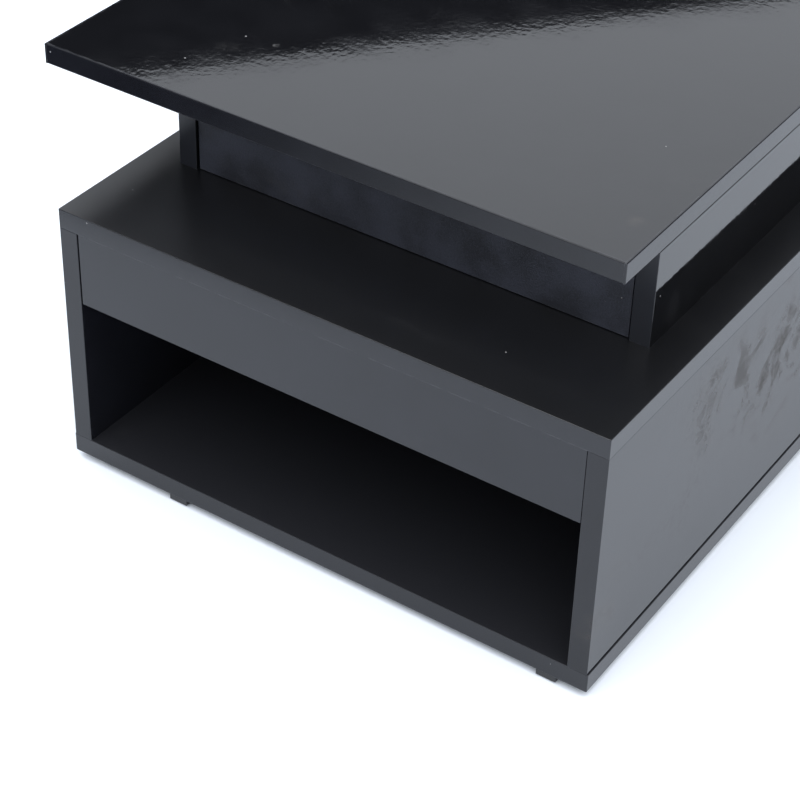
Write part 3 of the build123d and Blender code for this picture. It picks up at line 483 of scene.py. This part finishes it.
top_gloss = board_finish(
    "Top mirror gloss",
    (0.0055, 0.0058, 0.0072),
    0.03,
    peel_depth=1.7e-5,
    smudge_gain=0.03,
    smudge_tint=(0.012, 0.012, 0.013),
    smudge_least=0.62,
    dust_share=0.06,
    dust_scale=60.0,
    patches=(
        mark_on("tabletop", "top", (0.122, 0.083), 0.014, 0.12, PALE_DUST),
        mark_on("tabletop", "top", (0.152, 0.109), 0.004, 1.0, (0.3, 0.3, 0.3)),
        mark_on("tabletop", "top", (0.524, 0.051), 0.010, 0.6, GREASE),
        mark_on("tabletop", "top", (0.523, 0.159), 0.004, 1.0, GREASE),
    ),
)
riser_gloss = board_finish(
    "Riser side mirror gloss",
    (0.0125, 0.0140, 0.0190),
    0.30,
    second_face="Side",
    second_colour=(0.0045, 0.0047, 0.0056),
    second_roughness=0.02,
    peel_depth=1.8e-5,
    smudge_gain=0.03,
    smudge_tint=(0.012, 0.012, 0.012),
    dust_share=0.05,
    specular=0.46,
    patches=(
        mark_on("riser_side_right", "right", (0.040, 0.0195), 0.03, 0.3, (0.02, 0.02, 0.022)),
    ),
)
side_gloss = board_finish(
    "Side gloss foil",
    (0.0085, 0.0090, 0.0120),
    0.07,
    peel_depth=2.0e-5,
    smudge_gain=0.2,
    smudge_tint=(0.020, 0.018, 0.018),
    smudge_least=0.52,
    smudge_scale=3.4,
    specular=0.345,
    patches=(
        mark_on("side_panel_right", "right", (0.295, 0.1395), 0.125, 1.0, GRIME),
        mark_on("side_panel_right", "right", (0.190, 0.1645), 0.080, 0.7, GRIME),
        mark_on("side_panel_right", "right", (0.014, 0.0425), 0.030, 0.8, GREASE),
    ),
    patch_gain=0.34,
)
end_gloss = board_finish(
    "End gloss foil",
    (0.0090, 0.0098, 0.0135),
    0.12,
    peel_depth=2.0e-5,
    smudge_gain=0.08,
    smudge_tint=(0.014, 0.015, 0.019),
    specular=0.40,
)
shelf_satin_and_glint = board_finish(
    "Shelf satin foil and painted glint",
    (0.0090, 0.0098, 0.0135),
    0.12,
    second_face="Level",
    second_colour=(0.0045, 0.0048, 0.0060),
    second_roughness=0.31,
    peel_depth=0.0,
    grain_depth=4.5e-5,
    grain_scale=1100.0,
    smudge_gain=0.06,
    smudge_tint=(0.012, 0.012, 0.014),
    dust_share=0.06,
    specular=0.42,
    patches=(
        # A pale spot at the front right corner of the shelf top: a painted glint, the highlight
        # that the corner catches, put into the colour.
        mark_on("top_board", "top", (0.5125, 0.0054), 0.003, 1.0, (0.16, 0.16, 0.16)),
    ),
    sheen=0.95,
)
# The level faces of the bottom board are lighter than the shelf's: painted fill light on the
# floor of the compartment, over the real satin foil.
bottom_satin_with_painted_fill = board_finish(
    "Bottom board satin foil with painted fill",
    (0.0085, 0.0092, 0.0125),
    0.12,
    second_face="Level",
    second_colour=(0.013, 0.0135, 0.0165),
    second_roughness=0.40,
    peel_depth=0.0,
    grain_depth=2.5e-5,
    smudge_gain=0.06,
    smudge_tint=(0.020, 0.020, 0.023),
    dust_share=0.06,
    specular=0.42,
)
# The inside boards take the satin much lighter than the shelf: the extra lightness is painted
# fill light for the shaded inside.
inner_satin_painted_fill = board_finish(
    "Inner satin foil with painted fill",
    (0.026, 0.027, 0.031),
    0.40,
    peel_depth=0.0,
    grain_depth=3.0e-5,
    smudge_gain=0.06,
    smudge_tint=(0.045, 0.045, 0.050),
    dust_share=0.08,
)
riser_satin = board_finish(
    "Riser end satin board",
    (0.0300, 0.0335, 0.0470),
    0.42,
    peel_depth=0.0,
    grain_depth=3.0e-4,
    grain_scale=700.0,
    grain_tone=2.0,
    smudge_gain=0.08,
    smudge_tint=(0.030, 0.031, 0.036),
    dust_share=0.06,
)
band_gloss = board_finish(
    "Edge band gloss",
    (0.0080, 0.0086, 0.0115),
    0.09,
    peel_depth=3.0e-5,
    smudge_gain=0.06,
    smudge_tint=(0.012, 0.013, 0.016),
    specular=0.40,
)
print("board finishes:", [material.name for material in bpy.data.materials])


# %% [markdown]
# ## Steel, wood, rubber and plastic
# The lift is made of pressed steel with a black powder coat: a dull, slightly lumpy
# skin. Pins, screws and springs are zinc plated, bright with a faint cloudy stain.
# Dowels are raw beech, the stops are rubber, and the glides are moulded plastic.

# %% Small part recipe
def varied_roughness(tree, shader, value, change, least):
    """Roughness from least to least + change, as the given value varies."""
    wire(tree, maths(tree, "MULTIPLY_ADD", value, change, least), shader.inputs["Roughness"])


def grain_bump(tree, shader, grain, strength, depth):
    """A bump from the fine grain: the depth is in metres."""
    bump = add_node(tree, "ShaderNodeBump", Strength=strength, Distance=depth)
    wire(tree, grain.outputs["Height"], bump.inputs["Height"])
    wire(tree, bump.outputs["Normal"], shader.inputs["Normal"])


def worn_colour(tree, wear, base, tint):
    """The base colour with a half share of the tint along worn edges."""
    return blend_colours(tree, maths(tree, "MULTIPLY", wear.outputs["Mask"], 0.5), base, tint)


# %% Powder coat
powder_coat, tree, shader = new_finish("Black powder coat")
grain = place_group(tree, fine_grain, Scale=900.0, Cloud_Scale=30.0)
wear = place_group(tree, edge_wear, Radius=0.0009, Break_Scale=140.0)
coat = blend_colours(tree, grain.outputs["Cloud"], (0.012, 0.012, 0.013), (0.022, 0.022, 0.024))
coat = worn_colour(tree, wear, coat, (0.16, 0.16, 0.16))
wire(tree, coat, shader.inputs["Base Color"])
varied_roughness(tree, shader, grain.outputs["Cloud"], 0.12, 0.36)
grain_bump(tree, shader, grain, 0.7, 1.2e-4)

# %% Zinc plate
zinc_plate, tree, shader = new_finish("Bright zinc plate")
shader.inputs["Metallic"].default_value = 1.0
grain = place_group(tree, fine_grain, Scale=2400.0, Cloud_Scale=160.0)
plate = blend_colours(tree, grain.outputs["Cloud"], (0.42, 0.42, 0.41), (0.66, 0.66, 0.64))
wire(tree, plate, shader.inputs["Base Color"])
varied_roughness(tree, shader, grain.outputs["Cloud"], 0.16, 0.24)
grain_bump(tree, shader, grain, 0.5, 4.0e-5)

# %% Raw beech
beech, tree, shader = new_finish("Raw beech")
grain = place_group(tree, fine_grain, Scale=700.0, Cloud_Scale=180.0)
wood = blend_colours(tree, grain.outputs["Cloud"], (0.50, 0.34, 0.19), (0.62, 0.45, 0.27))
wire(tree, wood, shader.inputs["Base Color"])
varied_roughness(tree, shader, grain.outputs["Height"], 0.2, 0.6)

# %% Soft rubber
rubber, tree, shader = new_finish("Soft rubber")
grain = place_group(tree, fine_grain, Scale=1100.0, Cloud_Scale=200.0)
skin = blend_colours(tree, grain.outputs["Cloud"], (0.016, 0.016, 0.016), (0.03, 0.03, 0.03))
wire(tree, skin, shader.inputs["Base Color"])
varied_roughness(tree, shader, grain.outputs["Cloud"], 0.1, 0.75)

# %% Moulded black plastic
moulded, tree, shader = new_finish("Moulded black plastic")
grain = place_group(tree, fine_grain, Scale=1300.0, Cloud_Scale=120.0)
wear = place_group(tree, edge_wear, Radius=0.0008, Break_Scale=200.0)
skin = blend_colours(tree, grain.outputs["Cloud"], (0.012, 0.012, 0.013), (0.02, 0.02, 0.022))
skin = worn_colour(tree, wear, skin, (0.09, 0.09, 0.09))
wire(tree, skin, shader.inputs["Base Color"])
varied_roughness(tree, shader, grain.outputs["Cloud"], 0.1, 0.42)
grain_bump(tree, shader, grain, 0.5, 6.0e-5)

# %% [markdown]
# ## Which piece wears which finish
# Each piece of the frame keeps its shape and takes a finish by name. A list that names
# every piece is longer than a default, but a forgotten piece is then an error and not a
# grey part inside the table.

# %% Give every piece its finish
finish_of = {
    "tabletop": top_gloss,
    "top_band_left": band_gloss,
    "top_band_right": band_gloss,
    "top_band_near": band_gloss,
    "top_band_far": band_gloss,
    "side_panel_left": side_gloss,
    "side_panel_right": side_gloss,
    "riser_side_left": riser_gloss,
    "riser_side_right": riser_gloss,
    "apron_near": end_gloss,
    "apron_far": end_gloss,
    "top_board": shelf_satin_and_glint,
    "bottom_board": bottom_satin_with_painted_fill,
    "divider": inner_satin_painted_fill,
    "storage_floor": inner_satin_painted_fill,
    "riser_end_near": riser_satin,
    "riser_end_far": riser_satin,
    "base_bracket_near": powder_coat,
    "base_bracket_far": powder_coat,
    "top_bracket_near": powder_coat,
    "top_bracket_far": powder_coat,
    "main_arm_near": powder_coat,
    "main_arm_far": powder_coat,
    "follower_arm_near": powder_coat,
    "follower_arm_far": powder_coat,
    "cross_tube": powder_coat,
    "base_pins": zinc_plate,
    "top_pins": zinc_plate,
    "stop_pins": zinc_plate,
    "arm_posts": zinc_plate,
    "base_posts": zinc_plate,
    "spring_near": zinc_plate,
    "spring_far": zinc_plate,
    "cam_bolts": zinc_plate,
    "cam_locks": zinc_plate,
    "confirmat_screws": zinc_plate,
    "riser_screws": zinc_plate,
    "bracket_screws": zinc_plate,
    "top_screws": zinc_plate,
    "glide_nails": zinc_plate,
    "dowels": beech,
    "bumpers": rubber,
    "glides": moulded,
}
for name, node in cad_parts.items():
    for slot in node.material_slots:
        slot.material = finish_of[name]
print("pieces finished:", len(finish_of), "of", len(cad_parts))

# %% [markdown]
# ## The lift springs
# Each spring is hooked on a post of an arm and on a post of its bracket. On the real
# lift it shortens as the top rises. The frame holds it as a stiff coil, so a wound coil
# of the same size takes its place, with its hooks, and is fixed to the cabinet. The
# posts lie on the line of the spring at both ends of the lift.

# %% Spring line from the posts
WIRE = 0.0008
COIL_RADIUS = 0.0052
HOOK_RADIUS = 0.0040
HOOK_NECK = 0.0070
COIL_TURNS = 57


def post_at(node, y):
    """The axis of the posts of one node, as a point at the given y."""
    low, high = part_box(node)
    return Vector(((low[0] + high[0]) / 2, y, (low[2] + high[2]) / 2))


def spring_ends(side):
    """Where the two hooks of one spring sit: on the arm's post and on the base's post."""
    low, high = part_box("spring_near" if side < 0 else "spring_far")
    y = (low[1] + high[1]) / 2
    return post_at("arm_posts", y), post_at("base_posts", y)


# %% Wind a spring
POINTS_PER_TURN = 12
HOOK_STEPS = 14
HOOK_SWEEP = 300
HOOK_OPENING = 60
NECK_START = 1.05


def spring_path(side):
    """Points along the wire: a hook, the coil and the other hook."""
    start, end = spring_ends(side)
    along = (end - start).normalized()
    across = Vector((0, 1, 0))
    up = along.cross(across).normalized()

    def hook_point(post, degrees):
        turn = math.radians(degrees)
        return post + HOOK_RADIUS * (up * math.sin(turn) - along * math.cos(turn))

    points = []
    for step in range(HOOK_STEPS):
        points.append(hook_point(start, HOOK_OPENING + HOOK_SWEEP * step / HOOK_STEPS))
    points.append(start + along * HOOK_RADIUS * NECK_START)
    coil_length = (end - start).length - 2 * HOOK_NECK
    steps = COIL_TURNS * POINTS_PER_TURN
    for step in range(steps + 1):
        turn = 2 * math.pi * step / POINTS_PER_TURN
        centre = start + along * (HOOK_NECK + coil_length * step / steps)
        points.append(centre + COIL_RADIUS * (up * math.sin(turn) + across * math.cos(turn)))
    points.append(end - along * HOOK_RADIUS * NECK_START)
    for step in range(1, HOOK_STEPS + 1):
        points.append(hook_point(end, HOOK_SWEEP * step / HOOK_STEPS))
    return points, along, end


def wind_spring(name, node, side):
    points, along, end = spring_path(side)
    curve = bpy.data.curves.new(name + "_wire", "CURVE")
    curve.dimensions = "3D"
    curve.bevel_depth = WIRE
    curve.bevel_resolution = 2
    curve.use_fill_caps = True
    spline = curve.splines.new("POLY")
    spline.points.add(len(points) - 1)
    for target, point in zip(spline.points, points):
        target.co = (*point, 1.0)
    drawn = bpy.data.objects.new(name + "_drawn", curve)
    bpy.context.collection.objects.link(drawn)
    bpy.context.view_layer.update()
    finished = drawn.evaluated_get(bpy.context.evaluated_depsgraph_get())
    mesh = bpy.data.meshes.new_from_object(finished)
    bpy.data.objects.remove(drawn)
    for polygon in mesh.polygons:
        polygon.use_smooth = True
    spring = bpy.data.objects.new(name, mesh)
    bpy.context.collection.objects.link(spring)
    mesh.materials.clear()
    mesh.materials.append(zinc_plate)
    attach(spring, "cabinet")
    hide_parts(node)
    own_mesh(spring)
    return spring


for side, name in ((-1, "near"), (1, "far")):
    spring = wind_spring("wound_spring_" + name, "spring_" + name, side)
    print(spring.name, len(spring.data.vertices), "points")

# %% [markdown]
# ## Driven screws
# The screws that hold the lift are in plain view when the top is up. A screw is known
# by its head: domed under the top, sunk flush in the brackets, and always with a cross
# pressed in. Each screw is spun up as rings of points from its tip to the middle of the
# head, and the cross is made by pushing the middle points down along two crossing bars.

# %% Screw builder
SCREW_SEGMENTS = 32
CROSS_WIDTH = 0.0009
CROSS_REACH = 0.0022
CROSS_DEPTH = 0.0012
TIP_RADIUS = 0.0004
SHANK_RADIUS = 0.0020
HEAD_RADIUS = 0.0040
HEAD_THICK = 0.0025
HEAD_BREAK = 0.0001
FLAT_RINGS = (0.62, 0.54, 0.46, 0.38, 0.3, 0.22, 0.14, 0.07)


def shank(length):
    """(distance, height) of the rings of a shank that starts at height 0."""
    return [(TIP_RADIUS, -length), (SHANK_RADIUS, -length * 0.8), (SHANK_RADIUS, 0.0)]


def pan_head():
    """(distance, height) of the rings of a domed head, from under its rim inwards."""
    rings = [(HEAD_RADIUS, 0.0), (HEAD_RADIUS, HEAD_THICK * 0.35)]
    for step in range(1, 6):
        turn = math.radians(90 * step / 6)
        distance = HEAD_RADIUS * (0.72 + 0.28 * math.cos(turn))
        rings.append((distance, HEAD_THICK * (0.35 + 0.65 * math.sin(turn))))
    return rings + [(HEAD_RADIUS * share, HEAD_THICK) for share in FLAT_RINGS]


def sunk_head():
    """(distance, height) of the rings of a flush head, from its shank inwards."""
    rings = [(HEAD_RADIUS, HEAD_THICK - HEAD_BREAK), (HEAD_RADIUS - HEAD_BREAK, HEAD_THICK)]
    return rings + [(HEAD_RADIUS * share, HEAD_THICK) for share in FLAT_RINGS]


def add_screw(mesh, centre, out, profile):
    """A screw whose head stands on centre and faces out."""
    turn_out = out.to_track_quat("Z", "Y").to_matrix()
    top = profile[-1][1]
    rows = []
    for distance, height in profile:
        row = []
        for step in range(SCREW_SEGMENTS):
            turn = 2 * math.pi * step / SCREW_SEGMENTS
            x, y, z = distance * math.cos(turn), distance * math.sin(turn), height
            in_cross = distance < CROSS_REACH and min(abs(x), abs(y)) < CROSS_WIDTH / 2
            if height == top and in_cross:
                z -= CROSS_DEPTH
            row.append(mesh.verts.new(centre + turn_out @ Vector((x, y, z))))
        rows.append(row)
    for lower, upper in zip(rows, rows[1:]):
        for step in range(SCREW_SEGMENTS):
            after = (step + 1) % SCREW_SEGMENTS
            mesh.faces.new((lower[step], lower[after], upper[after], upper[step]))
    mesh.faces.new(rows[0][::-1])
    mesh.faces.new(rows[-1])


def screws(name, body, node, places, profile):
    """One piece that holds several screws: each place is (centre, out)."""
    mesh = bmesh.new()
    for centre, out in places:
        add_screw(mesh, centre, out, profile)
    data = bpy.data.meshes.new(name)
    mesh.to_mesh(data)
    mesh.free()
    piece = bpy.data.objects.new(name, data)
    bpy.context.collection.objects.link(piece)
    data.materials.append(zinc_plate)
    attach(piece, body)
    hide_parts(node)
    return piece


# %% Screws under the top
TOP_SCREW_X = (-0.045, 0.015, 0.105, 0.155)
TOP_SCREW_LENGTH = 0.0120
low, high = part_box("top_screws")
under_flange = low[2] + HEAD_THICK
screw_y = high[1] - HEAD_RADIUS
top_places = [
    (Vector((x, side * screw_y, under_flange)), Vector((0, 0, -1)))
    for x in TOP_SCREW_X
    for side in (-1, 1)
]
top_profile = shank(TOP_SCREW_LENGTH) + pan_head()
top_screws = screws("driven_top_screws", "lift_top", "top_screws", top_places, top_profile)
print(top_screws.name, "at", round(screw_y, 4), round(under_flange, 4))

# %% Screws in the base brackets
BRACKET_SCREW_XZ = ((-0.155, 0.272), (-0.095, 0.276), (0.010, 0.298), (0.050, 0.303))
BRACKET_SCREW_LENGTH = 0.0140
low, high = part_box("bracket_screws")
plate_face = high[1] - BRACKET_SCREW_LENGTH
bracket_places = [
    (Vector((x, side * (plate_face + HEAD_THICK), z)), Vector((0, -side, 0)))
    for x, z in BRACKET_SCREW_XZ
    for side in (-1, 1)
]
bracket_profile = shank(BRACKET_SCREW_LENGTH - HEAD_THICK) + sunk_head()
bracket_screws = screws(
    "driven_bracket_screws", "cabinet", "bracket_screws", bracket_places, bracket_profile
)
print(bracket_screws.name, "flush at", round(plate_face, 4))

# %% [markdown]
# ## The floor and the studio
# The table stands on a plain, nearly white floor that is large enough to fill every
# view. The main light is a wide soft box above and behind, whose edge draws the line
# between grey and black across the mirror top. A second soft box above the front fills
# the floor. The world is dark behind and pale in front, and looks pale to the camera.

# %% Floor
FLOOR_HALF = 14.0
floor_mesh = bpy.data.meshes.new("studio_floor")
corners = [(-FLOOR_HALF, -FLOOR_HALF, 0), (FLOOR_HALF, -FLOOR_HALF, 0)]
corners += [(FLOOR_HALF, FLOOR_HALF, 0), (-FLOOR_HALF, FLOOR_HALF, 0)]
floor_mesh.from_pydata(corners, [], [(0, 1, 2, 3)])
floor = bpy.data.objects.new("studio_floor", floor_mesh)
bpy.context.collection.objects.link(floor)
floor_paint, tree, shader = new_finish("Pale floor paint")
shader.inputs["Base Color"].default_value = (0.84, 0.89, 0.96, 1.0)
shader.inputs["Roughness"].default_value = 0.7
shader.inputs["Specular IOR Level"].default_value = 0.2
floor_mesh.materials.append(floor_paint)


# %% Soft boxes
def soft_box(name, centre, turn, size, radiance, colour):
    """A level rectangular light that shines down. Radiance sets how bright it looks."""
    light = bpy.data.lights.new(name, "AREA")
    light.shape = "RECTANGLE"
    light.size, light.size_y = size
    light.energy = radiance * math.pi * size[0] * size[1]
    light.color = colour
    lamp = bpy.data.objects.new(name, light)
    lamp.location = centre
    lamp.rotation_euler = (0, 0, turn)
    bpy.context.collection.objects.link(lamp)
    return lamp


BACK_PLACE, BACK_TURN = (-1.210, 2.577, 2.5), math.radians(50.7)
BACK_SIZE, BACK_RADIANCE, BACK_COLOUR = (7.0, 2.2), 1.62, (0.92, 0.965, 1.04)
FRONT_PLACE, FRONT_TURN = (0.9, -1.9, 2.9), 0.0
FRONT_SIZE, FRONT_RADIANCE, FRONT_COLOUR = (5.0, 4.4), 2.5, (0.98, 1.0, 1.03)
soft_box("back_soft_box", BACK_PLACE, BACK_TURN, BACK_SIZE, BACK_RADIANCE, BACK_COLOUR)
soft_box("front_soft_box", FRONT_PLACE, FRONT_TURN, FRONT_SIZE, FRONT_RADIANCE, FRONT_COLOUR)
print("soft boxes:", [lamp.name for lamp in bpy.data.lights])

# %% [markdown]
# A black flag lies on the floor in front of the left corner, out of view. The front
# edge of the top mirrors it, so that edge runs from black at the left to slate at
# the right and stands apart from the grey face above it. The flag is seen by
# reflections only, and its black thins out towards the right.

# %% Black flag
FLAG_LEFT, FLAG_RIGHT = -1.9, 0.25
FLAG_FRONT, FLAG_BACK = -2.2, -0.83
FLAG_HEIGHT = 0.003
FLAG_FADE = 0.85
flag_mesh = bpy.data.meshes.new("black_flag")
flag_corners = [(FLAG_LEFT, FLAG_FRONT, FLAG_HEIGHT), (FLAG_RIGHT, FLAG_FRONT, FLAG_HEIGHT)]
flag_corners += [(FLAG_RIGHT, FLAG_BACK, FLAG_HEIGHT), (FLAG_LEFT, FLAG_BACK, FLAG_HEIGHT)]
flag_mesh.from_pydata(flag_corners, [], [(0, 1, 2, 3)])
flag = bpy.data.objects.new("black_flag", flag_mesh)
bpy.context.collection.objects.link(flag)
flag_cloth, tree, shader = new_finish("Black flag cloth")
shader.inputs["Base Color"].default_value = (0.004, 0.004, 0.005, 1.0)
shader.inputs["Roughness"].default_value = 0.9
shader.inputs["Specular IOR Level"].default_value = 0.1
along_flag = add_node(tree, "ShaderNodeSeparateXYZ")
wire(tree, add_node(tree, "ShaderNodeTexCoord").outputs["Object"], along_flag.inputs["Vector"])
thinning = ramp(tree, along_flag.outputs["X"], FLAG_RIGHT, FLAG_RIGHT - FLAG_FADE)
wire(tree, thinning, shader.inputs["Alpha"])
flag_mesh.materials.append(flag_cloth)
flag.visible_camera = False
flag.visible_diffuse = False
flag.visible_shadow = False

# %% World
world = bpy.data.worlds.new("Studio")
bpy.context.scene.world = world
world.use_nodes = True
tree = world.node_tree
tree.nodes.clear()
direction = add_node(tree, "ShaderNodeTexCoord").outputs["Generated"]
towards_front = tree.nodes.new("ShaderNodeVectorMath")
towards_front.operation = "DOT_PRODUCT"
towards_front.inputs[1].default_value = (0.77, -0.63, 0.0)
wire(tree, direction, towards_front.inputs[0])
front = ramp(tree, towards_front.outputs["Value"], -0.35, 0.7)
studio = blend_colours(tree, front, (0.012, 0.012, 0.013), (0.75, 0.77, 0.80))
rays = add_node(tree, "ShaderNodeLightPath")
room = blend_colours(tree, rays.outputs["Is Diffuse Ray"], studio, (0.90, 0.91, 0.94))
seen = blend_colours(tree, rays.outputs["Is Camera Ray"], room, (0.92, 0.92, 0.92))
background = add_node(tree, "ShaderNodeBackground")
wire(tree, seen, background.inputs["Color"])
output = add_node(tree, "ShaderNodeOutputWorld")
wire(tree, background.outputs["Background"], output.inputs["Surface"])
bpy.context.scene.view_settings.view_transform = "Standard"

# %% [markdown]
# ## The camera
# A long lens from above the near right corner. Long lenses keep the upright edges nearly
# parallel, which suits furniture. The direction is set by three plain angles: how far it
# turns from the table's length, how far it looks down, and a slight lean.

# %% Camera
LENS = 100.98
CAMERA_PLACE = (0.852, -1.6621, 1.2485)
TURN, LOOK_UP, LEAN = math.radians(-33.061), math.radians(-37.210), math.radians(1.823)
ahead = Vector(
    (math.sin(TURN) * math.cos(LOOK_UP), math.cos(TURN) * math.cos(LOOK_UP), math.sin(LOOK_UP))
)
level_right = ahead.cross(Vector((0, 0, 1))).normalized()
level_up = level_right.cross(ahead)
right = math.cos(LEAN) * level_right + math.sin(LEAN) * level_up
up = math.cos(LEAN) * level_up - math.sin(LEAN) * level_right
camera_data = bpy.data.cameras.new("camera")
camera_data.lens = LENS
camera_data.clip_end = 60.0
camera = bpy.data.objects.new("camera", camera_data)
bpy.context.collection.objects.link(camera)
placing = Matrix((right, up, -ahead)).transposed().to_4x4()
placing.translation = CAMERA_PLACE
camera.matrix_world = placing
bpy.context.scene.camera = camera
print("camera looks along", [round(value, 3) for value in ahead])
